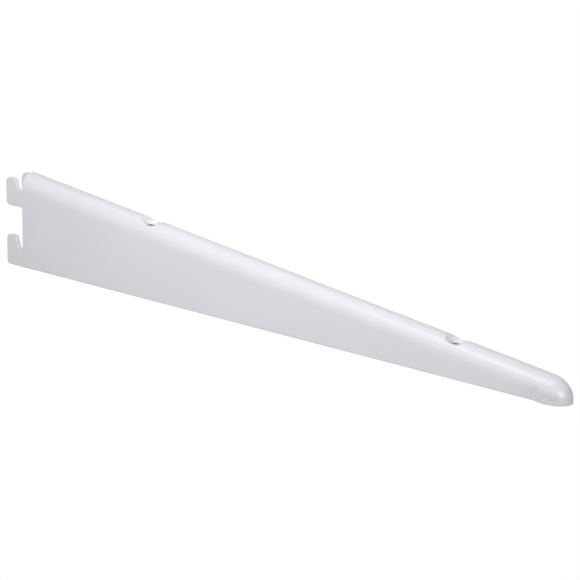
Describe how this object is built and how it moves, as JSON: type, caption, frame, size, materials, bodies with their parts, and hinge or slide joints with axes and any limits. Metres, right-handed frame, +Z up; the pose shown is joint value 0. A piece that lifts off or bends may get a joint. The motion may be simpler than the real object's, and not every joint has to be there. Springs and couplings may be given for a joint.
{
  "type": "slotted shelf bracket",
  "caption": "Pressed sheet-steel shelf bracket: a tapering channel with a rounded nose, two countersunk screw holes in dimples, and rear hooks that drop into a slotted upright.",
  "frame": {"origin": "under the middle of the bracket's length and width, level with its lowest point, on the mid-plane between the two walls", "axes": "+X from the hooks to the nose, +Y across the channel, +Z up from the open edges to the closed crown, as the picture shows it"},
  "size_m": [0.382, 0.014, 0.0516],
  "materials": {
    "white_powder_coat": "satin white powder coat on pressed steel sheet"
  },
  "bodies": {
    "root": {"shelf_bracket": "white_powder_coat"}
  },
  "joints": []
}
